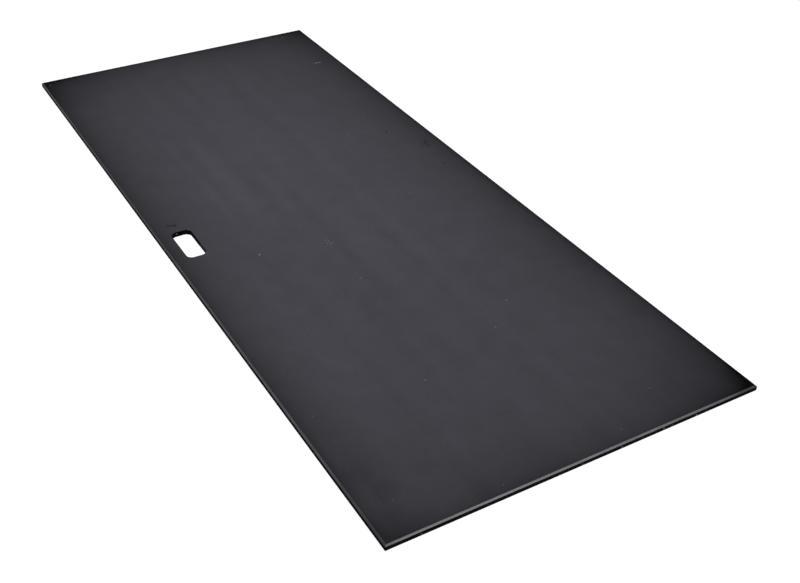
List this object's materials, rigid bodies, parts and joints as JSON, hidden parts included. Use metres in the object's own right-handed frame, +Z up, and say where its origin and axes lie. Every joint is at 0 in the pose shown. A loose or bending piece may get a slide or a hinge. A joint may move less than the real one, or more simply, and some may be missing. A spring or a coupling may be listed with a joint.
{
  "type": "ground protection mat",
  "caption": "Flat sheet of dark recycled plastic with a chamfered upper edge and a hand hole beside a long edge, laid on soft ground as a temporary path.",
  "frame": {"origin": "middle of the underside, on the ground that the mat lies on", "axes": "+Y along the mat's length, +X across its width away from the edge with the hand hole, +Z up through its thickness"},
  "size_m": [1, 2.4, 0.015],
  "materials": {
    "charcoal_polyethylene": "matte"
  },
  "bodies": {
    "root": {"mat": "charcoal_polyethylene"}
  },
  "joints": []
}
